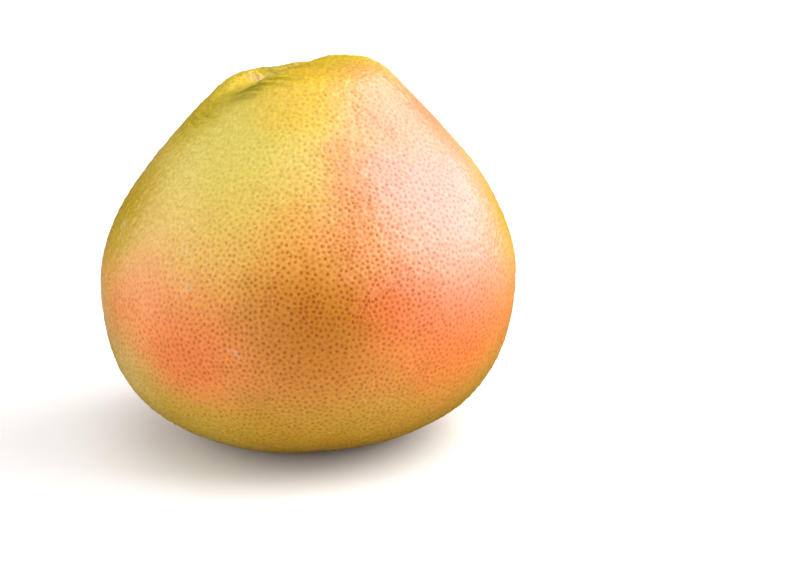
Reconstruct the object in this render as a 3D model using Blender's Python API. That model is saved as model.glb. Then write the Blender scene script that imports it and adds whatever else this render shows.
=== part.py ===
"""A whole pomelo, as picked, standing on the small flat spot that its own weight has pressed in its base.

One grown piece makes one solid: a broad gumdrop with a wide belly, nearly straight flanks and a
crown that leans a little. The stem basin sits off centre on the crown, and furrows run out of it.

Metres, +Z up. The origin is the middle of the flat spot, and the fruit's front faces -Y.
"""

import math

import bmesh
import bpy
from mathutils import Vector
from mathutils.geometry import interpolate_bezier

# Driving dimensions of the turned form, before it is pressed and leans.
WIDTH = 0.160  # across the belly
HEIGHT = 0.1448  # flat spot to the middle of the crown
BELLY_HEIGHT = 0.0632  # where the fruit is widest
PRESSED = 0.0012  # how far the base is pressed flat
SHOULDER_RADIUS = 0.0325  # where the straight flank turns over into the crown
SHOULDER_HEIGHT = 0.1396
FLANK_ANGLE = math.radians(46.5)  # slope of the flank at the shoulder, from the horizontal

# How far each stretch of the outline reaches along its end directions, as shares of its chord.
CROWN_PULL = 0.33
FLANK_PULL = 0.39
BELLY_PULL = 0.30
HAUNCH_PULL = 0.475
BASE_PULL = 0.50

# How the grown fruit differs from a turned one.
LEAN = 0.0036  # the crown stands this far to +X of the base
BOW = 0.0022  # and the shoulders this far to -X of where the lean would put them
BOW_HEIGHT = 0.91  # the bow's middle and its spread, as shares of the height
BOW_SPREAD = 0.14
SLOPE = 0.055  # the crown falls this much towards -X, as rise over run
SLOPE_FROM, SLOPE_OVER = 0.6, 0.4  # where the slope sets in, and over how far, as shares of the height
LOBES = (  # how many round the belly, how high, and how far turned in radians
    (2, 0.0007, 0.6),
    (3, 0.0006, 2.1),
    (5, 0.0003, 4.0),
)

# The crown's highest place is a low rise on the side away from the stem basin.
RISE_CENTRE = Vector((0.0175, 0.0100))
RISE_HEIGHT = 0.0013
RISE_RADIUS = 0.0110

# The stem basin, and the low corky scar in it where the stem broke away.
BASIN_CENTRE = Vector((-0.0090, 0.0150))
BASIN_DEPTH = 0.0045
BASIN_SPREAD = 0.0084
SCAR_HEIGHT = 0.0008
SCAR_FLAT = 0.0024  # radius of its top
SCAR_EDGE = 0.0032  # width of its sloping edge

# Furrows run out of the basin over the crown: direction in degrees from +X, depth, half width, length.
FURROWS = (
    (236, 0.0056, 0.0090, 0.052),
    (221, 0.0022, 0.0032, 0.048),
    (150, 0.0008, 0.0050, 0.024),
    (100, 0.0012, 0.0050, 0.030),
    (46, 0.0026, 0.0065, 0.036),
    (356, 0.0013, 0.0038, 0.050),
    (300, 0.0008, 0.0050, 0.026),
)
FURROW_START = -0.0027  # where a furrow begins along its line, measured from the basin's middle
FURROW_RISE = 0.0095  # how far it takes to reach its full depth
FURROW_FADE = 0.45  # the share of its length at which it begins to fade

# Mesh.
SEGMENTS = 76
RINGS = 44
RING_CROWDING = 1.30  # above 1, rings close up towards the crown, where the shape turns fastest
OUTLINE_STEPS = 120  # points read from each stretch of the outline


def clear_scene():
    """Start from an empty file."""
    for thing in list(bpy.data.objects):
        bpy.data.objects.remove(thing, do_unlink=True)


def smooth_step(value):
    """0 below 0, 1 above 1, and an even S between."""
    value = min(max(value, 0.0), 1.0)
    return value * value * (3.0 - 2.0 * value)


def mound(distance, spread):
    """1 at the middle, falling away in a bell."""
    return math.exp(-((distance / spread) ** 2))


def stretch(start, start_way, start_pull, end, end_way, end_pull):
    """Points of one Bezier stretch of the outline, each (radius, height), from start to end."""
    chord = (end - start).length
    leaving = start + start_way * chord * start_pull
    arriving = end - end_way * chord * end_pull
    return interpolate_bezier(start, leaving, arriving, end, OUTLINE_STEPS)


def outline():
    """The turned outline, from the middle of the crown to the middle of the base."""
    crown = Vector((0.0, HEIGHT))
    shoulder = Vector((SHOULDER_RADIUS, SHOULDER_HEIGHT))
    belly = Vector((WIDTH / 2, BELLY_HEIGHT))
    base = Vector((0.0, -PRESSED))
    outwards = Vector((1.0, 0.0))
    down = Vector((0.0, -1.0))
    flank = Vector((math.cos(FLANK_ANGLE), -math.sin(FLANK_ANGLE)))
    points = stretch(crown, outwards, CROWN_PULL, shoulder, flank, CROWN_PULL)
    points += stretch(shoulder, flank, FLANK_PULL, belly, down, BELLY_PULL)[1:]
    points += stretch(belly, down, HAUNCH_PULL, base, -outwards, BASE_PULL)[1:]
    return points


def ring_places():
    """One (radius, height) for each ring of the sphere, pole to pole, by length along the outline."""
    points = outline()
    run = [0.0]
    for before, after in zip(points, points[1:]):
        run.append(run[-1] + (after - before).length)
    places = []
    at = 0
    for ring in range(RINGS + 1):
        wanted = run[-1] * (ring / RINGS) ** RING_CROWDING
        while at < len(run) - 2 and run[at + 1] < wanted:
            at += 1
        share = (wanted - run[at]) / (run[at + 1] - run[at])
        places.append(points[at].lerp(points[at + 1], min(share, 1.0)))
    return places


def furrow_depth(plan):
    """How far the furrows sink the crown at this place in plan."""
    depth = 0.0
    out = plan - BASIN_CENTRE
    for degrees, deepest, half_width, length in FURROWS:
        way = Vector((math.cos(math.radians(degrees)), math.sin(math.radians(degrees))))
        along = out.dot(way)
        aside = way.x * out.y - way.y * out.x
        begun = smooth_step((along - FURROW_START) / FURROW_RISE)
        fading = smooth_step((along / length - FURROW_FADE) / (1.0 - FURROW_FADE))
        depth += deepest * begun * (1.0 - fading) * mound(aside, half_width)
    return depth


def basin_depth(plan):
    """How far the stem basin sinks the crown at this place in plan, less the scar that stands in it."""
    off = (plan - BASIN_CENTRE).length
    scar = SCAR_HEIGHT * (1.0 - smooth_step((off - SCAR_FLAT) / SCAR_EDGE))
    return BASIN_DEPTH * mound(off, BASIN_SPREAD) - scar


def crown_change(plan):
    """How far the rise, the basin and the furrows lift the crown at this place in plan."""
    rise = RISE_HEIGHT * mound((plan - RISE_CENTRE).length, RISE_RADIUS)
    return rise - basin_depth(plan) - furrow_depth(plan)


def grow(place):
    """Where a point of the turned form is on the grown fruit."""
    up = place.z / HEIGHT
    plan = Vector((place.x, place.y))
    turn = math.atan2(place.y, place.x)
    swell = sum(high * math.sin(count * turn + turned) for count, high, turned in LOBES)
    plan += plan.normalized() * swell * smooth_step(plan.length / (WIDTH / 2))
    height = place.z
    if place.z > BELLY_HEIGHT:
        height += crown_change(plan)
        height += SLOPE * plan.x * smooth_step((up - SLOPE_FROM) / SLOPE_OVER)
    plan.x += LEAN * up - BOW * mound(up - BOW_HEIGHT, BOW_SPREAD)
    return Vector((plan.x, plan.y, max(height, 0.0)))


def fruit_mesh():
    """The fruit from a unit sphere: each ring goes to its place on the outline, and each point grows."""
    shape = bmesh.new()
    bmesh.ops.create_uvsphere(shape, u_segments=SEGMENTS, v_segments=RINGS, radius=1.0)
    places = ring_places()
    for vert in shape.verts:
        from_pole = math.acos(min(max(vert.co.z, -1.0), 1.0))
        place = places[round(from_pole / math.pi * RINGS)]
        plan = Vector((vert.co.x, vert.co.y)).normalized() * place.x
        vert.co = grow(Vector((plan.x, plan.y, place.y)))
    bmesh.ops.triangulate(shape, faces=shape.faces)
    bmesh.ops.recalc_face_normals(shape, faces=shape.faces)
    mesh = bpy.data.meshes.new("pomelo")
    shape.to_mesh(mesh)
    shape.free()
    mesh.shade_smooth()
    return mesh


def rind_material():
    """Waxy yellow-orange citrus rind."""
    material = bpy.data.materials.new("rind")
    material.use_nodes = True
    shader = material.node_tree.nodes["Principled BSDF"]
    shader.inputs["Base Color"].default_value = (0.83, 0.50, 0.12, 1.0)
    shader.inputs["Roughness"].default_value = 0.38
    shader.inputs["Metallic"].default_value = 0.0
    return material


def main():
    """Build the fruit in a collection named for it."""
    clear_scene()
    parts = bpy.data.collections.new("pomelo")
    bpy.context.scene.collection.children.link(parts)
    fruit = bpy.data.objects.new("pomelo", fruit_mesh())
    fruit.data.materials.append(rind_material())
    parts.objects.link(fruit)


if __name__ == "__main__":
    main()
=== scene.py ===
"""The looks of a whole pomelo: its dimpled, blushed rind, standing in a plain white studio.

The fruit's form comes from the frame. Over it grows a rind made of oil glands: each gland is a
small pit with its own ring of points, so that the pits are in the mesh and not only in the
material.
"""

import logging
import math
from dataclasses import dataclass, field
from enum import Enum
from typing import Any

import bmesh
import bpy
import numpy as np
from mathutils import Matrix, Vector, geometry, noise
from mathutils.bvhtree import BVHTree
from mathutils.kdtree import KDTree


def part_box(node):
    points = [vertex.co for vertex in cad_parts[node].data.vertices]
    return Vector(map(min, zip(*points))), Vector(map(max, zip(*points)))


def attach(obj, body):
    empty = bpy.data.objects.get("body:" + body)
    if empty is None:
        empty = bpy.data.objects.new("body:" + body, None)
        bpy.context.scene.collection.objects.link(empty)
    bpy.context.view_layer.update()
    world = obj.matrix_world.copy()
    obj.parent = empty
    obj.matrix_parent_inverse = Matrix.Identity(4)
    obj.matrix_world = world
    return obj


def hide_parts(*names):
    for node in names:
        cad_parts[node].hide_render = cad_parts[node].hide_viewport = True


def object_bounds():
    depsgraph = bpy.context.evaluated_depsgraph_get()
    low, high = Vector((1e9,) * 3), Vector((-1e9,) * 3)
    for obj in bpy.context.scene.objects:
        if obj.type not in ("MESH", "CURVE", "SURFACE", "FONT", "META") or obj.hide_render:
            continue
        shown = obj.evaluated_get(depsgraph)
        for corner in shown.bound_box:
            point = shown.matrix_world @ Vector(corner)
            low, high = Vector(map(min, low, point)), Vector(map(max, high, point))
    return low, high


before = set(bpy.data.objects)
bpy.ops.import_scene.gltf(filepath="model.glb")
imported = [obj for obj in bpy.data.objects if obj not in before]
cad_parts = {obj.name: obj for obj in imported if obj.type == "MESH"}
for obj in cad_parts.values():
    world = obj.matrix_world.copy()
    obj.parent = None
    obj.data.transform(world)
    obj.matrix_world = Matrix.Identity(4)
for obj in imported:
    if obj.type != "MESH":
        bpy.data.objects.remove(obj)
CAD_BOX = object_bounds()

LOG = logging.getLogger("pomelo")
MM = 0.001
WHITE = (1.0, 1.0, 1.0, 1.0)


class Attribute(Enum):
    """The mesh attributes that the rind's material reads."""

    GLAND_DISTANCE = "gland_distance_mm"
    GLAND_STRENGTH = "gland_strength"
    FOLD_HEIGHT = "fold_height_mm"


# ---------------------------------------------------------------------------------------------
# Small shared helpers
# ---------------------------------------------------------------------------------------------


def linear(colour: str) -> tuple[float, float, float, float]:
    """Turn an sRGB hex colour into linear light.

    Args:
        colour: Six hex digits after a hash, such as "#FFB347".

    Returns:
        Red, green, blue and an alpha of 1.
    """
    channels = [int(colour[at : at + 2], 16) / 255 for at in (1, 3, 5)]
    light = [c / 12.92 if c <= 0.04045 else ((c + 0.055) / 1.055) ** 2.4 for c in channels]
    return (light[0], light[1], light[2], 1.0)


def add_node(
    tree: bpy.types.NodeTree, kind: str, settings: dict[str, Any], inputs: dict[Any, Any]
) -> bpy.types.Node:
    """Add one node to a tree.

    Args:
        tree: The node tree.
        kind: The node's type, such as "ShaderNodeMath".
        settings: The node's own properties, by name.
        inputs: By input name or number, an output socket to link or a plain value to set.

    Returns:
        The new node.
    """
    node = tree.nodes.new(kind)
    for name, value in settings.items():
        setattr(node, name, value)
    for name, value in inputs.items():
        if isinstance(value, bpy.types.NodeSocket):
            tree.links.new(value, node.inputs[name])
        else:
            node.inputs[name].default_value = value
    return node


def unit(vectors: np.ndarray) -> np.ndarray:
    """Scale each row to length 1."""
    return vectors / np.linalg.norm(vectors, axis=1, keepdims=True)


def smooth_step(values: np.ndarray) -> np.ndarray:
    """0 below 0, 1 above 1, and an even S between."""
    values = np.clip(values, 0.0, 1.0)
    return values * values * (3.0 - 2.0 * values)


# ---------------------------------------------------------------------------------------------
# The fruit's form, from the frame
# ---------------------------------------------------------------------------------------------


@dataclass
class FruitForm:
    """The smooth outer form of the fruit, read from the frame's solid by rays from its heart."""

    node: str = "pomelo"
    heart_share: float = 0.42  # the heart's height, as a share of the fruit's
    weld: float = 0.01 * MM  # points closer than this are one point
    flat_corner: float = math.radians(40)  # triangles that meet flatter than this join into quads
    levels: int = 2  # how often the solid's facets are smoothed
    tree: BVHTree = field(init=False)
    heart: Vector = field(init=False)
    low: Vector = field(init=False)
    high: Vector = field(init=False)

    def __post_init__(self) -> None:
        """Read the box and smooth the solid."""
        self.low, self.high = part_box(self.node)
        self.heart = Vector((0.0, 0.0, self.low.z + self.heart_share * (self.high.z - self.low.z)))
        self.tree = self.smooth_tree()

    @property
    def height(self) -> float:
        """The fruit's height."""
        return self.high.z - self.low.z

    def smooth_tree(self) -> BVHTree:
        """Smooth a copy of the frame's solid and make it ready for rays.

        Returns:
            The tree of the smoothed copy's faces.
        """
        cage = bmesh.new()
        cage.from_mesh(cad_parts[self.node].data)
        bmesh.ops.remove_doubles(cage, verts=cage.verts, dist=self.weld)
        bmesh.ops.join_triangles(
            cage,
            faces=cage.faces,
            angle_face_threshold=self.flat_corner,
            angle_shape_threshold=self.flat_corner,
        )
        mesh = bpy.data.meshes.new("form")
        cage.to_mesh(mesh)
        cage.free()
        copy = bpy.data.objects.new("form", mesh)
        bpy.context.scene.collection.objects.link(copy)
        smoother = copy.modifiers.new("smooth", "SUBSURF")
        smoother.levels = smoother.render_levels = self.levels
        bpy.context.view_layer.update()
        tree = BVHTree.FromObject(copy, bpy.context.evaluated_depsgraph_get())
        bpy.data.objects.remove(copy)
        bpy.data.meshes.remove(mesh)
        return tree

    def surface(self, ways: np.ndarray) -> tuple[np.ndarray, np.ndarray]:
        """Find where rays from the heart leave the fruit.

        Args:
            ways: One direction a row.

        Returns:
            The points on the surface and the outward normals there.
        """
        points = np.empty((len(ways), 3))
        normals = np.empty((len(ways), 3))
        for at, way in enumerate(ways):
            hit, normal, _, _ = self.tree.ray_cast(self.heart, Vector(way))
            points[at] = hit
            normals[at] = normal
        outward = np.sign(np.einsum("ij,ij->i", normals, ways))
        return points, normals * outward[:, None]

    def place(self, turn: float, rise: float) -> np.ndarray:
        """Find a place on the surface.

        Args:
            turn: Degrees round from the front, growing towards +X.
            rise: Degrees up from level, seen from the heart.

        Returns:
            The point.
        """
        round_, up = math.radians(turn), math.radians(rise)
        way = (math.sin(round_) * math.cos(up), -math.cos(round_) * math.cos(up), math.sin(up))
        return self.surface(np.array([way]))[0][0]


# ---------------------------------------------------------------------------------------------
# The oil glands
# ---------------------------------------------------------------------------------------------


@dataclass(frozen=True)
class Patch:
    """A round patch of the surface where something is stronger or weaker."""

    turn: float  # degrees round from the front, growing towards +X
    rise: float  # degrees up from level, seen from the heart
    reach: float  # from the patch's middle to its edge
    amount: float


@dataclass(frozen=True)
class Scar:
    """A dry, corky mark with a raised rim and no glands, where the stalk or the flower was."""

    turn: float  # degrees round from the front, growing towards +X
    rise: float  # degrees up from level, seen from the heart
    radius: float
    rim: float  # how far the rim stands up
    dish: float  # how far the middle sinks
    rim_width: float = 0.45  # as a share of the radius
    bare: float = 0.7  # glands start at this share of the radius

    def height(self, off: np.ndarray) -> np.ndarray:
        """Work out how far the mark lifts the skin.

        Args:
            off: Distances from its middle.

        Returns:
            The height at each.
        """
        share = off / self.radius
        ring = np.exp(-(((share - 1.0) / self.rim_width) ** 2))
        return self.rim * ring - self.dish * (1.0 - smooth_step(share))

    def glands(self, off: np.ndarray) -> np.ndarray:
        """Work out how far glands grow near the mark.

        Args:
            off: Distances from its middle.

        Returns:
            The share of full growth at each.
        """
        return smooth_step(off / self.radius - self.bare)


STALK_SCAR = Scar(-149, 77.5, 4.2 * MM, 0.7 * MM, 1.3 * MM)
FLOWER_SCAR = Scar(0, -89.9, 3.0 * MM, 0.0, 0.4 * MM)


@dataclass
class GlandField:
    """Where the oil glands sit: scattered, but no two crowd each other."""

    form: FruitForm
    scars: tuple[Scar, ...] = (STALK_SCAR, FLOWER_SCAR)
    smallest: float = 0.3  # a gland's size, as a share of the largest one's
    spread: tuple[float, float] = (2.0, 1.2)  # the shape of the beta spread of sizes
    boldness: float = 0.62  # how strong glands are away from the patches
    faintest: float = 0.1
    patches: tuple[Patch, ...] = (
        Patch(6, 12, 60 * MM, 0.40),
        Patch(-34, 48, 66 * MM, -0.40),
        Patch(-60, 22, 44 * MM, -0.34),
        Patch(-62, 70, 42 * MM, -0.30),
        Patch(0, 88, 40 * MM, -0.24),
        Patch(-30, -5, 40 * MM, 0.12),
        Patch(45, 30, 50 * MM, 0.06),
        Patch(160, 10, 80 * MM, 0.20),
    )
    crowding: Patch = Patch(5, 10, 130 * MM, 0.45)  # glands stand closer round the sunny front
    count: int = 14000
    seed: int = 11
    tries: int = 8  # candidate places looked at for each gland
    crown_crowding: float = 0.25  # glands stand this much closer at the stem end
    crown_share: float = 0.75  # the height where that begins, as a share of the fruit's
    base_thinning: float = 0.45  # glands stand this much farther apart on the base
    base_share: float = 0.06  # the height where that ends
    least_facing: float = 0.2  # a slanting face counts no larger than at this cosine
    rounds: int = 9  # rounds of pushing neighbours apart
    neighbours: int = 7
    push: float = 0.16
    ways: np.ndarray = field(init=False)
    size: np.ndarray = field(init=False)
    strength: np.ndarray = field(init=False)

    def __post_init__(self) -> None:
        """Scatter the glands, push neighbours apart and give each its strength."""
        random = np.random.RandomState(self.seed)
        points = self.scatter(random)
        for _ in range(self.rounds):
            points = self.pushed_apart(points)
        self.ways = unit(points - np.array(self.form.heart))
        self.size = self.smallest + (1.0 - self.smallest) * random.beta(*self.spread, self.count)
        for scar in self.scars:
            off = np.linalg.norm(points - self.form.place(scar.turn, scar.rise), axis=1)
            self.size *= scar.glands(off)
        self.strength = self.size * self.bold(points)

    def scatter(self, random: np.random.RandomState) -> np.ndarray:
        """Draw places evenly over the surface.

        Args:
            random: The seeded source of random numbers.

        Returns:
            One point on the surface a gland.
        """
        ways = unit(random.normal(size=(self.count * self.tries, 3)))
        points, normals = self.form.surface(ways)
        reach = points - np.array(self.form.heart)
        distance = np.linalg.norm(reach, axis=1)
        facing = np.einsum("ij,ij->i", normals, ways)
        share = (points[:, 2] - self.form.low.z) / self.form.height
        crown = smooth_step((share - self.crown_share) / (1.0 - self.crown_share))
        base = smooth_step((self.base_share - share) / self.base_share)
        crowd = (1.0 + self.crown_crowding * crown) * (1.0 - self.base_thinning * base)
        weight = distance**2 / np.maximum(facing, self.least_facing) * crowd
        weight = weight * (1.0 + self.crowding.amount * self.inside(self.crowding, points))
        chosen = random.choice(len(points), self.count, replace=False, p=weight / weight.sum())
        return points[np.sort(chosen)]

    def bold(self, points: np.ndarray) -> np.ndarray:
        """Work out how strong glands are at each point.

        Args:
            points: Points on the surface.

        Returns:
            The share of full strength at each.
        """
        share = np.full(len(points), self.boldness)
        for patch in self.patches:
            share += patch.amount * self.inside(patch, points)
        return np.clip(share, self.faintest, 1.0)

    def inside(self, patch: Patch, points: np.ndarray) -> np.ndarray:
        """Work out how far inside a patch each point is.

        Args:
            patch: The patch.
            points: Points on the surface.

        Returns:
            1 at the patch's middle, falling smoothly to 0 at its edge.
        """
        off = np.linalg.norm(points - self.form.place(patch.turn, patch.rise), axis=1)
        return 1.0 - smooth_step(off / patch.reach)

    def pushed_apart(self, points: np.ndarray) -> np.ndarray:
        """Move each gland a little away from its nearest neighbours, along the surface.

        Args:
            points: The glands' places.

        Returns:
            Their new places.
        """
        tree = KDTree(len(points))
        for at, point in enumerate(points):
            tree.insert(point, at)
        tree.balance()
        moved = points.copy()
        for at, point in enumerate(points):
            near = tree.find_n(point, self.neighbours)[1:]
            reach = near[-1][2]
            for other, _, distance in near:
                away = (point - np.array(other)) / max(distance, self.form.weld)
                moved[at] += away * self.push * (reach - distance)
        ways = unit(moved - np.array(self.form.heart))
        return self.form.surface(ways)[0]


# ---------------------------------------------------------------------------------------------
# The rind's mesh
# ---------------------------------------------------------------------------------------------


@dataclass
class RindShape:
    """The rind's skin, woven from the glands: each a pit in a ring, with ridges between."""

    form: FruitForm
    glands: GlandField
    pit_radius: float = 1.0 * MM
    pit_depth: float = 0.30 * MM
    pebble_height: float = 0.34 * MM  # uneven rise and fall of the skin between the pits
    pebble_width: float = 2.0 * MM
    widest_ring: float = 0.72  # a ring takes at most this share of the way to a triangle's middle
    wrinkle_depth: float = 0.75 * MM
    wrinkle_reach: float = 74 * MM  # how far the wrinkles run from the stem basin
    wrinkle_width: float = 2.6 * MM
    wrinkle_length: float = 13 * MM
    wrinkle_start: float = 6 * MM  # nearer to the basin's middle they grow no closer
    wrinkle_floor: float = 0.55  # the height where they begin, as a share of the fruit's
    wrinkle_rise: float = 0.3  # and over how much of it they grow
    fine_share: float = 0.5  # how deep the fine wrinkles are, beside the broad ones
    fine_pace: float = 2.1  # how much closer they stand
    slices: tuple[float, float] = (3.7, 8.1)  # where the noise is cut for broad and fine ones
    least_share: float = 0.01  # a weaker wrinkle than this is left out
    swell_height: float = 0.30 * MM  # broad unevenness of the whole rind
    swell_width: float = 24 * MM
    basin: Vector = Vector((-0.0090, 0.0150, 0.0))  # the stem basin's middle, in plan
    flat_weld: float = 1e-9  # glands closer than this on the opened-out plane are one

    def triangles(self) -> tuple[np.ndarray, np.ndarray]:
        """Join neighbouring glands in triangles, over the whole fruit.

        The glands are opened out on a plane from the point under the fruit, triangulated there, and
        the last gap, under the fruit, is closed round one more point.

        Returns:
            The directions from the heart, that last point's included, and the triangles' corners.
        """
        ways = self.glands.ways
        flat = ways[:, :2] / (1.0 + ways[:, 2:])
        plane = [Vector(point) for point in flat.tolist()]
        _, _, faces, _, _, _ = geometry.delaunay_2d_cdt(plane, [], [], 0, self.flat_weld)
        corners = np.array(faces)
        edges = np.concatenate([corners[:, [0, 1]], corners[:, [1, 2]], corners[:, [2, 0]]])
        known = {(int(a), int(b)) for a, b in edges}
        rim = [(a, b) for a, b in known if (b, a) not in known]
        under = len(ways)
        closing = np.array([(b, a, under) for a, b in sorted(rim)])
        ways = np.concatenate([ways, [[0.0, 0.0, -1.0]]])
        return ways, np.concatenate([corners, closing])

    def unevenness(self, points: np.ndarray) -> np.ndarray:
        """Work out how far each point sinks or rises with the rind's broad and fine unevenness.

        Args:
            points: Points on the form.

        Returns:
            The height at each, in metres.
        """
        heights = np.empty(len(points))
        for at, point in enumerate(points):
            lump = noise.noise(Vector(point) / self.swell_width)
            pebble = noise.noise(Vector(point) / self.pebble_width)
            heights[at] = self.swell_height * lump + self.pebble_height * pebble
        for scar in self.glands.scars:
            off = np.linalg.norm(points - self.form.place(scar.turn, scar.rise), axis=1)
            heights += scar.height(off)
        return heights

    def wrinkles(self, points: np.ndarray) -> np.ndarray:
        """Work out how far each point sinks or rises with the wrinkles round the stem basin.

        Args:
            points: Points on the form.

        Returns:
            The height at each, in metres.
        """
        out = points[:, :2] - np.array(self.basin.to_2d())
        off = np.linalg.norm(out, axis=1)
        turn = np.arctan2(out[:, 1], out[:, 0])
        near = 1.0 - smooth_step(off / self.wrinkle_reach)
        height = points[:, 2] / self.form.height
        upper = smooth_step((height - self.wrinkle_floor) / self.wrinkle_rise)
        share = near * upper
        heights = np.zeros(len(points))
        for at in np.flatnonzero(share > self.least_share):
            aside = turn[at] * max(off[at], self.wrinkle_start) / self.wrinkle_width
            along = off[at] / self.wrinkle_length
            fold = noise.noise(Vector((aside, along, self.slices[0])))
            fine_at = (self.fine_pace * aside, self.fine_pace * along, self.slices[1])
            fine = noise.noise(Vector(fine_at))
            heights[at] = self.wrinkle_depth * share[at] * (fold + self.fine_share * fine)
        return heights

    def build(self) -> bpy.types.Object:
        """Weave the rind.

        Returns:
            The rind as one closed mesh object.
        """
        ways, corners = self.triangles()
        heart = np.array(self.form.heart)
        gland_at, gland_out = self.form.surface(ways)
        strength = np.append(self.glands.strength, 0.0)

        owner = corners.reshape(-1)
        middles = np.repeat(gland_at[corners].mean(axis=1), 3, axis=0)
        reach = middles - gland_at[owner]
        far = np.linalg.norm(reach, axis=1)
        radius = np.minimum(self.pit_radius, self.widest_ring * far)
        ring_ways = unit(gland_at[owner] + reach * (radius / far)[:, None] - heart)
        ring_at, ring_out = self.form.surface(ring_ways)

        points = np.concatenate([gland_at, ring_at])
        normals = np.concatenate([gland_out, ring_out])
        pits = -self.pit_depth * np.append(self.glands.size, 0.0)
        lift = np.concatenate([pits, np.zeros(len(ring_at))])
        folds = self.wrinkles(points)
        points = points + normals * (lift + folds + self.unevenness(points))[:, None]
        points[:, 2] = np.maximum(points[:, 2], self.form.low.z)

        rings = len(gland_at)
        slot = {}
        for at, (a, b) in enumerate(zip(owner, np.roll(corners, -1, axis=1).reshape(-1))):
            slot[(int(a), int(b))] = at
        faces: list[tuple[int, ...]] = []
        for (gland, other), at in slot.items():
            back = slot[(other, gland)]
            # The other triangle on this edge lists the same gland one step further on.
            before = back - back % 3 + (back + 1) % 3
            faces.append((gland, rings + before, rings + at))
            if gland < other:
                beyond = at - at % 3 + (at + 1) % 3
                faces.append((rings + before, rings + back, rings + beyond, rings + at))
        for first in range(0, len(owner), 3):
            faces.append((rings + first, rings + first + 1, rings + first + 2))

        mesh = bpy.data.meshes.new("rind")
        mesh.from_pydata(points.tolist(), [], faces)
        mesh.shade_smooth()
        self.write(mesh, Attribute.GLAND_STRENGTH, [strength, strength[owner]])
        self.write(mesh, Attribute.GLAND_DISTANCE, [np.zeros(len(gland_at)), radius / MM])
        self.write(mesh, Attribute.FOLD_HEIGHT, [folds / MM])
        BakeLayout(heart).lay(mesh)
        rind = bpy.data.objects.new("rind", mesh)
        bpy.context.scene.collection.objects.link(rind)
        return rind

    @staticmethod
    def write(mesh: bpy.types.Mesh, name: Attribute, parts: list[np.ndarray]) -> None:
        """Write one number a point, in the order glands, rings.

        Args:
            mesh: The mesh.
            name: Which attribute.
            parts: The numbers, in one part or one for each kind of point.
        """
        layer = mesh.attributes.new(name.value, "FLOAT", "POINT")
        layer.data.foreach_set("value", np.concatenate(parts).astype(np.float32))


@dataclass
class BakeLayout:
    """A texture layout, named OFBake: the six sides of a cube round the heart, three by two."""

    heart: np.ndarray
    margin: float = 0.05  # room round each side, as a share of its width

    def lay(self, mesh: bpy.types.Mesh) -> None:
        """Add the layout to a mesh.

        Args:
            mesh: The mesh to lay out.
        """
        points = np.empty(len(mesh.vertices) * 3, np.float32)
        mesh.vertices.foreach_get("co", points)
        points = points.reshape(-1, 3) - self.heart
        corner_point = np.empty(len(mesh.loops), np.int32)
        mesh.loops.foreach_get("vertex_index", corner_point)
        sizes = np.array([len(face.vertices) for face in mesh.polygons])
        starts = np.cumsum(sizes) - sizes
        middles = np.add.reduceat(points[corner_point], starts, axis=0)
        side_axis = np.abs(middles).argmax(axis=1)
        side_sign = np.take_along_axis(middles, side_axis[:, None], 1)[:, 0] > 0
        axis = np.repeat(side_axis, sizes)
        above = np.repeat(side_sign, sizes)
        at = points[corner_point]
        depth = np.abs(np.take_along_axis(at, axis[:, None], 1)[:, 0])
        across = np.take_along_axis(at, ((axis + 1) % 3)[:, None], 1)[:, 0]
        upward = np.take_along_axis(at, ((axis + 2) % 3)[:, None], 1)[:, 0]
        half = math.pi / 4
        room = 1.0 - self.margin
        u = 0.5 + 0.5 * room * np.arctan2(across, depth) / half
        v = 0.5 + 0.5 * room * np.arctan2(upward, depth) / half
        layout = np.stack([(axis + u) / 3, (above + v) / 2], axis=1)
        layer = mesh.uv_layers.new(name="OFBake")
        layer.data.foreach_set("uv", layout.astype(np.float32).reshape(-1))


# ---------------------------------------------------------------------------------------------
# Finishes
# ---------------------------------------------------------------------------------------------


@dataclass(frozen=True)
class Tint:
    """One patch where the rind's colour differs: mostly pigment, and in some patches painted shade
    and painted highlight as well.
    """

    name: str
    turn: float  # degrees round from the front, growing towards +X
    rise: float  # degrees up from level, seen from the heart
    reach: float  # millimetres from the patch's middle to its edge
    colour: str
    strength: float = 1.0
    # A tint that gathers in the furrows is painted shade there.
    shaded_in_folds: bool = False  # whether it gathers in the wrinkles' furrows
    settled: bool = False  # whether its edge stays put rather than wander


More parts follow.
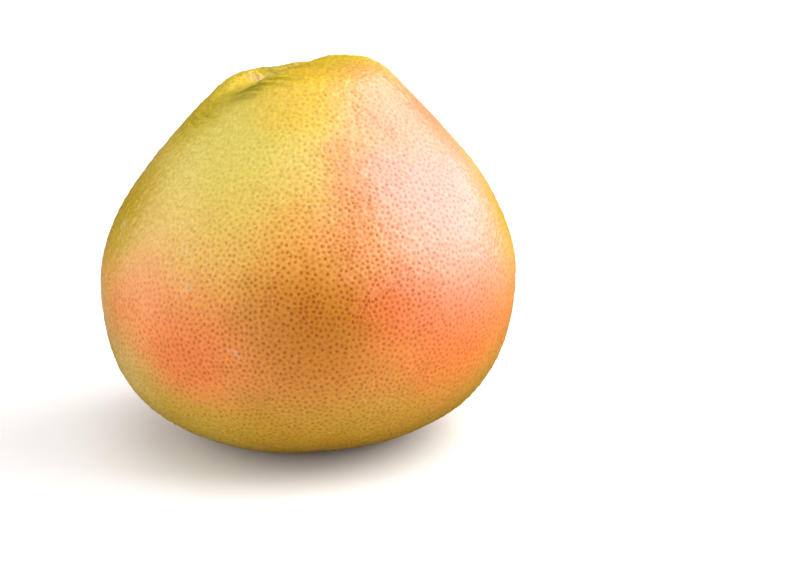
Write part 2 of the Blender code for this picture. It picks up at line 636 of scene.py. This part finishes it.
@dataclass(frozen=True)
class CitrusRind:
    """Ripe pomelo rind: a waxy cuticle over pigmented peel, pitted by oil glands.

    The glands' oil is seen through the thin skin over them, so they read as darker, more orange
    dots. Wax gives a soft, broad shine. Green is left where the fruit hung in shade, and a salmon
    blush grows where the sun reached it.
    """

    belts: tuple[tuple[float, str], ...] = (
        (0.00, "#A87C0C"),
        (0.11, "#B68C14"),
        (0.22, "#CA962C"),
        (0.32, "#E4943E"),
        (0.43, "#F29C46"),
        (0.50, "#F9AE58"),
        (0.57, "#FBC060"),
        (0.64, "#FDCD66"),
        (0.72, "#FDD766"),
        (0.84, "#FBDD68"),
        (0.92, "#FADA50"),
        (1.00, "#FFD62A"),
    )
    tints: tuple[Tint, ...] = (
        Tint("green shade", -38, 54, 50, "#F4E26C", 0.7),
        Tint("gold rim", -76, 24, 40, "#D6B406", 0.95),
        Tint("olive shoulder", -84, 60, 34, "#F2D23A", 0.9),
        Tint("orange front", 6, 20, 42, "#FDAA50", 0.8),
        # Ochre pigment and painted shade, darker over the lower front.
        Tint("ochre with painted shade", 4, 1, 44, "#CA7C02", 0.95),
        Tint("dusky front", -12, 6, 24, "#D08A30", 0.35),
        Tint("salmon blush", -48, 0, 36, "#FF9E58", 0.9),
        Tint("salmon blush", -32, -7, 37, "#FA9048", 0.85),
        Tint("blush heart", -34, -9, 25, "#F07A38", 0.6),
        Tint("pale hem", -62, -20, 34, "#DEC06C", 0.85),
        Tint("pale rim", -80, -4, 28, "#F2CC80", 0.7),
        Tint("olive hem", -42, -36, 46, "#CAAC3A", 0.7),
        Tint("sunny side", 45, 0, 52, "#EE7A28", 0.9),
        Tint("coral seam", 25, 8, 26, "#EE7212", 0.8),
        # Peach cheek: pink blush and a painted highlight, pale where the key lamp's shine falls.
        Tint("peach cheek with painted highlight", 53, 34, 72, "#F2AA9A", 1.0),
        Tint("upper seam", 17, 50, 16, "#F4A060", 0.6),
        Tint("salmon seam", 18, 38, 17, "#F69A5C", 0.65),
        Tint("lower seam", 19, 27, 18, "#F89C54", 0.6),
        # Pink blush and a painted highlight, as above.
        Tint("peach cheek with painted highlight", 34, 42, 22, "#F4B2A2", 0.6),
        Tint("peach cheek with painted highlight", 34, 27, 20, "#F6B49C", 0.5),
        Tint("peach shoulder", 60, 60, 44, "#F2A27C", 0.85),
        Tint("coral rim", 86, 52, 30, "#F29A6A", 0.7),
        Tint("yellow edge", 90, 18, 42, "#DCAE2C", 0.95),
        Tint("gold band", -6, 66, 24, "#FFCE3A", 0.6),
        Tint("gold crown", 20, 80, 22, "#FFD040", 0.8),
        # Olive pigment and painted shade, gathered in the furrows of the crease and the stem basin.
        Tint("olive crease with painted shade", -26, 76, 15, "#B0A000", 0.9, shaded_in_folds=True),
        Tint("olive crease with painted shade", -48, 72, 16, "#9C9200", 0.9, shaded_in_folds=True),
        Tint("olive crease with painted shade", -64, 66, 16, "#B4A600", 0.7, shaded_in_folds=True),
        Tint("olive crease with painted shade", -78, 57, 22, "#BEAC00", 0.6, shaded_in_folds=True),
        Tint("olive basin with painted shade", -149, 77, 26, "#A89C10", 0.8, shaded_in_folds=True),
        # A painted highlight, pale pink on the stem basin's far lip.
        Tint("lip with painted highlight", -120, 76, 7, "#F2C49A", 0.7),
        Tint("groove", 74, 68, 4, "#E08A30", 0.7),
        Tint("scar", -33, 11, 3.2, "#E6D2A8", 0.45),
        Tint("scar", -19, -4, 3.2, "#D8B896", 0.45),
        Tint("scar", -36, 21, 2.5, "#EEDCB0", 0.35),
        Tint("scar", -70, 21, 3.2, "#F4D8A0", 0.7),
        Tint("hidden orange", 140, 8, 62, "#EF9C48", 0.8),
        Tint("hidden green", -150, 38, 66, "#E6D45A", 0.7),
        Tint("hidden gold", -106, 34, 44, "#E2C848", 0.7),
        Tint("hidden gold", 130, 36, 54, "#D8A84C", 0.8),
        Tint("hidden gold", 172, 50, 54, "#DCB854", 0.6),
        Tint("hidden blush", -118, -6, 46, "#F59A54", 0.6),
        Tint("cork rim", STALK_SCAR.turn, STALK_SCAR.rise, 7.5, "#A58A4E", 0.9, settled=True),
        Tint("cork middle", STALK_SCAR.turn, STALK_SCAR.rise, 4.0, "#6B4F2C", 0.95, settled=True),
        Tint("flower mark", FLOWER_SCAR.turn, FLOWER_SCAR.rise, 6.0, "#8E6A34", 0.9, settled=True),
    )
    gland_tone: tuple[float, float, float] = (0.67, 0.33, 0.04)  # what a strong gland lets back
    gland_edge: tuple[float, float] = (0.3, 1.05)  # mm from its middle, where a dot starts and ends
    roughness: float = 0.37
    rind_ior: float = 1.41
    wax_ior: float = 1.44
    wax_share: float = 0.28
    wax_roughness: float = 0.29
    mottle_width: float = 9.0  # mm
    mottle_shift: float = 13.0  # mm, how far a tint's edge wanders
    mottle_detail: float = 5.0
    mottle_raggedness: float = 0.62
    # Where the painted shade in the furrows fades and where it is full.
    furrow: tuple[float, float] = (0.16, -0.22)  # mm, where a furrow's tint fades and is full
    furrow_least: float = 0.15  # how much of that tint shows on a ridge
    fleck_width: float = 1.1  # mm, pale and dusky flecks between the glands
    fleck: tuple[float, float] = (0.89, 1.08)  # what the duskiest and the palest let back
    fleck_span: tuple[float, float] = (0.3, 0.7)  # the noise that makes those two
    grain_width: float = 1.1  # mm, the cuticle's fine creases
    grain_height: float = 0.22  # mm
    fleck_detail: float = 1.0
    grain_detail: float = 2.0

    def material(self, form: FruitForm) -> bpy.types.Material:
        """Make the rind's material.

        Args:
            form: The fruit, on which the tints are placed.

        Returns:
            The material.
        """
        material = bpy.data.materials.new("waxy citrus rind")
        material.use_nodes = True
        tree = material.node_tree
        shader = tree.nodes["Principled BSDF"]
        place = add_node(tree, "ShaderNodeTexCoord", {}, {}).outputs["Object"]
        # Pigment, with painted shade and painted highlight among the tints.
        colour = self.pigment(tree, place, form)
        colour = self.flecked(tree, place, colour)
        colour = self.dotted(tree, colour)
        tree.links.new(colour, shader.inputs["Base Color"])
        shader.inputs["Roughness"].default_value = self.roughness
        shader.inputs["IOR"].default_value = self.rind_ior
        shader.inputs["Coat IOR"].default_value = self.wax_ior
        shader.inputs["Coat Weight"].default_value = self.wax_share
        shader.inputs["Coat Roughness"].default_value = self.wax_roughness
        grain = add_node(
            tree,
            "ShaderNodeTexNoise",
            {},
            {"Vector": place, "Scale": 1.0 / (self.grain_width * MM), "Detail": self.grain_detail},
        )
        bump = add_node(
            tree,
            "ShaderNodeBump",
            {},
            {"Height": grain.outputs["Fac"], "Distance": self.grain_height * MM, "Strength": 1.0},
        )
        tree.links.new(bump.outputs["Normal"], shader.inputs["Normal"])
        return material

    def pigment(
        self, tree: bpy.types.NodeTree, place: bpy.types.NodeSocket, form: FruitForm
    ) -> bpy.types.NodeSocket:
        """Lay the tints over the ground colour, with edges that wander; some tints are painted
        shade and painted highlight.

        Args:
            tree: The material's node tree.
            place: The point on the fruit.
            form: The fruit, on which the tints are placed.

        Returns:
            The rind's colour between the glands.
        """
        wander = add_node(
            tree,
            "ShaderNodeTexNoise",
            {},
            {
                "Vector": place,
                "Scale": 1.0 / (self.mottle_width * MM),
                "Detail": self.mottle_detail,
                "Roughness": self.mottle_raggedness,
            },
        )
        shift = add_node(
            tree,
            "ShaderNodeVectorMath",
            {"operation": "MULTIPLY_ADD"},
            {
                0: wander.outputs["Color"],
                1: (self.mottle_shift * MM,) * 3,
                2: (-0.5 * self.mottle_shift * MM,) * 3,
            },
        )
        moved = add_node(
            tree,
            "ShaderNodeVectorMath",
            {"operation": "ADD"},
            {0: place, 1: shift.outputs["Vector"]},
        ).outputs["Vector"]
        height = add_node(tree, "ShaderNodeSeparateXYZ", {}, {0: moved}).outputs["Z"]
        share = add_node(
            tree, "ShaderNodeMapRange", {}, {"Value": height, 1: form.low.z, 2: form.high.z}
        ).outputs["Result"]
        ramp = add_node(tree, "ShaderNodeValToRGB", {}, {"Fac": share})
        for step, (at, tone) in enumerate(self.belts):
            stop = ramp.color_ramp.elements[step] if step < 2 else ramp.color_ramp.elements.new(at)
            stop.position, stop.color = at, linear(tone)
        colour = ramp.outputs["Color"]
        folds = add_node(
            tree, "ShaderNodeAttribute", {"attribute_name": Attribute.FOLD_HEIGHT.value}, {}
        ).outputs["Fac"]
        # Painted shade: the share of a furrow tint grows in the wrinkles' furrows.
        furrow = add_node(
            tree,
            "ShaderNodeMapRange",
            {"interpolation_type": "SMOOTHSTEP"},
            {
                "Value": folds,
                1: self.furrow[0],
                2: self.furrow[1],
                3: self.furrow_least,
                4: 1.0,
            },
        ).outputs["Result"]
        for tint in self.tints:
            distance = add_node(
                tree,
                "ShaderNodeVectorMath",
                {"operation": "DISTANCE"},
                {0: place if tint.settled else moved, 1: form.place(tint.turn, tint.rise)},
            ).outputs["Value"]
            share = add_node(
                tree,
                "ShaderNodeMapRange",
                {"interpolation_type": "SMOOTHERSTEP"},
                {"Value": distance, 1: tint.reach * MM, 2: 0.0, 3: 0.0, 4: tint.strength},
            ).outputs["Result"]
            # Tints that gather in the furrows: painted shade.
            if tint.shaded_in_folds:
                share = add_node(
                    tree, "ShaderNodeMath", {"operation": "MULTIPLY"}, {0: share, 1: furrow}
                ).outputs["Value"]
            colour = add_node(
                tree,
                "ShaderNodeMix",
                {"data_type": "RGBA"},
                {0: share, 6: colour, 7: linear(tint.colour)},
            ).outputs[2]
        return colour

    def flecked(
        self, tree: bpy.types.NodeTree, place: bpy.types.NodeSocket, colour: bpy.types.NodeSocket
    ) -> bpy.types.NodeSocket:
        """Break the colour up in fine flecks, as the peel's cells hold more or less pigment.

        Args:
            tree: The material's node tree.
            place: The point on the fruit.
            colour: The rind's colour between the glands.

        Returns:
            The colour with its flecks.
        """
        cells = add_node(
            tree,
            "ShaderNodeTexNoise",
            {},
            {"Vector": place, "Scale": 1.0 / (self.fleck_width * MM), "Detail": self.fleck_detail},
        ).outputs["Fac"]
        share = add_node(
            tree,
            "ShaderNodeMapRange",
            {},
            {
                "Value": cells,
                1: self.fleck_span[0],
                2: self.fleck_span[1],
                3: self.fleck[0],
                4: self.fleck[1],
            },
        ).outputs["Result"]
        return add_node(
            tree, "ShaderNodeVectorMath", {"operation": "SCALE"}, {0: colour, "Scale": share}
        ).outputs["Vector"]

    def dotted(
        self, tree: bpy.types.NodeTree, colour: bpy.types.NodeSocket
    ) -> bpy.types.NodeSocket:
        """Darken and warm the colour at each gland.

        Args:
            tree: The material's node tree.
            colour: The rind's colour between the glands.

        Returns:
            The rind's colour with its glands.
        """
        distance = add_node(
            tree, "ShaderNodeAttribute", {"attribute_name": Attribute.GLAND_DISTANCE.value}, {}
        ).outputs["Fac"]
        strength = add_node(
            tree, "ShaderNodeAttribute", {"attribute_name": Attribute.GLAND_STRENGTH.value}, {}
        ).outputs["Fac"]
        dot = add_node(
            tree,
            "ShaderNodeMapRange",
            {"interpolation_type": "SMOOTHSTEP"},
            {"Value": distance, 1: self.gland_edge[1], 2: self.gland_edge[0], 3: 0.0, 4: 1.0},
        ).outputs["Result"]
        share = add_node(
            tree, "ShaderNodeMath", {"operation": "MULTIPLY"}, {0: dot, 1: strength}
        ).outputs["Value"]
        dark = add_node(
            tree,
            "ShaderNodeMix",
            {"data_type": "RGBA", "blend_type": "MULTIPLY"},
            {0: 1.0, 6: colour, 7: (*self.gland_tone, 1.0)},
        ).outputs[2]
        return add_node(
            tree, "ShaderNodeMix", {"data_type": "RGBA"}, {0: share, 6: colour, 7: dark}
        ).outputs[2]


@dataclass(frozen=True)
class PaintedGlowFloor:
    """A white floor that glows: painted light, faded out near the fruit as a painted shade round
    the lamps' real shadow.

    The matte upper side scatters the lamps' light and shows no reflection.
    """

    colour: str = "#E7E7E7"
    roughness: float = 0.9
    # The glow is painted light: none within dim_radius, full from full_radius on, so a painted
    # shade rings the fruit.
    glow: float = 0.50  # near the fruit
    dim_radius: float = 0.020
    full_radius: float = 0.100
    # More painted light, added away from the fruit.
    far_painted_glow: float = 0.35  # added away from the fruit, where the lamps reach less
    far_radius: float = 1.4

    def material(self) -> bpy.types.Material:
        """Make the table's material.

        Returns:
            The material.
        """
        material = bpy.data.materials.new("white floor with painted glow")
        material.use_nodes = True
        tree = material.node_tree
        shader = tree.nodes["Principled BSDF"]
        shader.inputs["Base Color"].default_value = linear(self.colour)
        shader.inputs["Roughness"].default_value = self.roughness
        shader.inputs["Specular IOR Level"].default_value = 0.0
        place = add_node(tree, "ShaderNodeTexCoord", {}, {}).outputs["Object"]
        # Painted light and shade: the floor glows more the farther it is from the fruit.
        away = add_node(
            tree, "ShaderNodeVectorMath", {"operation": "LENGTH"}, {0: place}
        ).outputs["Value"]
        near = add_node(
            tree,
            "ShaderNodeMapRange",
            {"interpolation_type": "SMOOTHSTEP"},
            {"Value": away, 1: self.dim_radius, 2: self.full_radius, 3: 0.0, 4: self.glow},
        ).outputs["Result"]
        far = add_node(
            tree,
            "ShaderNodeMapRange",
            {"interpolation_type": "SMOOTHSTEP"},
            {"Value": away, 1: self.full_radius, 2: self.far_radius, 3: 0.0, 4: self.far_painted_glow},
        ).outputs["Result"]
        glow = add_node(tree, "ShaderNodeMath", {}, {0: near, 1: far}).outputs["Value"]
        shader.inputs["Emission Color"].default_value = WHITE
        tree.links.new(glow, shader.inputs["Emission Strength"])
        return material


@dataclass(frozen=True)
class TentCloth:
    """Thin white nylon lit from outside: an even white with no weave to be seen from afar."""

    glow: float = 1.0

    def material(self) -> bpy.types.Material:
        """Make the cloth's material.

        Returns:
            The material.
        """
        material = bpy.data.materials.new("backlit white nylon")
        material.use_nodes = True
        shader = material.node_tree.nodes["Principled BSDF"]
        shader.inputs["Emission Color"].default_value = WHITE
        shader.inputs["Emission Strength"].default_value = self.glow
        return material


# ---------------------------------------------------------------------------------------------
# The fruit and the studio
# ---------------------------------------------------------------------------------------------


@dataclass
class Pomelo:
    """The whole fruit."""

    finish: CitrusRind = field(default_factory=CitrusRind)

    def build(self) -> bpy.types.Object:
        """Grow the rind over the form and dress it.

        Returns:
            The fruit.
        """
        form = FruitForm()
        rind = RindShape(form, GlandField(form)).build()
        rind.data.materials.append(self.finish.material(form))
        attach(rind, "root")
        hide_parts("pomelo")
        return rind


@dataclass
class SoftBox:
    """One soft lamp, aimed at the fruit from a bearing round it."""

    name: str
    turn: float  # degrees round from the camera's side, growing towards +X
    rise: float  # degrees above level
    distance: float
    size: tuple[float, float]
    watts: float
    mirrored: bool = True  # whether it shows in the fruit's shine

    def hang(self, target: Vector) -> bpy.types.Object:
        """Hang the lamp.

        Args:
            target: What it points at.

        Returns:
            The lamp.
        """
        lamp = bpy.data.lights.new(self.name, "AREA")
        lamp.shape = "RECTANGLE"
        lamp.size, lamp.size_y = self.size
        lamp.energy = self.watts
        item = bpy.data.objects.new(self.name, lamp)
        bpy.context.scene.collection.objects.link(item)
        item.visible_glossy = self.mirrored
        round_, up = math.radians(self.turn), math.radians(self.rise)
        way = Vector(
            (math.sin(round_) * math.cos(up), -math.cos(round_) * math.cos(up), math.sin(up))
        )
        item.location = target + way * self.distance
        item.rotation_euler = (-way).to_track_quat("-Z", "Y").to_euler()
        return item


@dataclass
class Studio:
    """A white floor with painted glow in a white tent, soft lamps, a dim surround and the camera.
    """

    floor_size: float = 8.0
    tent_radius: float = 5.8  # the white tent stands clear of the floor's corners
    tent_panels: tuple[int, int] = (48, 24)  # round it and from bottom to top
    surround: float = 0.05
    lamps: tuple[SoftBox, ...] = (
        SoftBox("key", 97, 37, 0.9, (1.26, 0.92), 14.5),
        SoftBox("fill", -92, 14, 1.0, (1.1, 1.0), 5.0),
        SoftBox("overhead", 0, 89, 1.1, (1.0, 1.0), 3.4),
        SoftBox("front", -14, 15, 1.3, (0.6, 0.5), 3.5, mirrored=False),
    )
    lens: float = 100.0
    distance: float = 0.864
    elevation: float = 16.0  # degrees above level
    aim_height: float = 0.072
    aim_right: float = 0.0371  # the camera looks this far to the right of the fruit's middle
    aim_below: float = 0.0167  # and this far below it
    table: PaintedGlowFloor = field(default_factory=PaintedGlowFloor)
    cloth: TentCloth = field(default_factory=TentCloth)

    def build(self) -> None:
        """Set up the floor, the light and the camera."""
        self.lay_floor()
        self.pitch_tent()
        self.light()
        self.place_camera()

    def lay_floor(self) -> None:
        """Lay the table at the height the fruit stands on."""
        sheet = bmesh.new()
        bmesh.ops.create_grid(sheet, x_segments=1, y_segments=1, size=self.floor_size / 2)
        mesh = bpy.data.meshes.new("floor")
        sheet.to_mesh(mesh)
        sheet.free()
        floor = bpy.data.objects.new("floor", mesh)
        floor.location.z = CAD_BOX[0][2]
        floor.data.materials.append(self.table.material())
        floor.visible_glossy = False
        bpy.context.scene.collection.objects.link(floor)

    def pitch_tent(self) -> None:
        """Pitch an evenly lit white tent round everything, which adds no light of its own."""
        dome = bmesh.new()
        round_, up = self.tent_panels
        bmesh.ops.create_uvsphere(
            dome, u_segments=round_, v_segments=up, radius=self.tent_radius
        )
        mesh = bpy.data.meshes.new("tent")
        dome.to_mesh(mesh)
        dome.free()
        tent = bpy.data.objects.new("tent", mesh)
        mesh.materials.append(self.cloth.material())
        tent.visible_diffuse = tent.visible_glossy = tent.visible_shadow = False
        bpy.context.scene.collection.objects.link(tent)

    def light(self) -> None:
        """Light the surround and hang the lamps."""
        world = bpy.data.worlds.new("surround")
        world.use_nodes = True
        background = world.node_tree.nodes["Background"]
        background.inputs["Color"].default_value = WHITE
        background.inputs["Strength"].default_value = self.surround
        bpy.context.scene.world = world
        for lamp in self.lamps:
            lamp.hang(Vector((0.0, 0.0, self.aim_height)))

    def place_camera(self) -> None:
        """Stand the camera in front of the fruit, looking down on it a little."""
        up_angle = math.radians(self.elevation)
        middle = Vector((0.0, 0.0, self.aim_height))
        ahead = Vector((0.0, math.cos(up_angle), -math.sin(up_angle)))
        right = Vector((1.0, 0.0, 0.0))
        above = right.cross(ahead)
        camera = bpy.data.objects.new("camera", bpy.data.cameras.new("camera"))
        camera.data.lens = self.lens
        camera.location = middle - ahead * self.distance
        aim = middle + right * self.aim_right - above * self.aim_below
        camera.rotation_euler = (aim - camera.location).to_track_quat("-Z", "Y").to_euler()
        bpy.context.scene.collection.objects.link(camera)
        bpy.context.scene.camera = camera
        bpy.context.scene.view_settings.view_transform = "Standard"


def main() -> None:
    """Build the studio and the fruit, and note the sizes."""
    logging.basicConfig(level=logging.INFO, format="%(name)s: %(message)s")
    Studio().build()
    fruit = Pomelo().build()
    skin = fruit.data
    LOG.info("%s: %d points, %d faces", fruit.name, len(skin.vertices), len(skin.polygons))


if __name__ == "__main__":
    main()
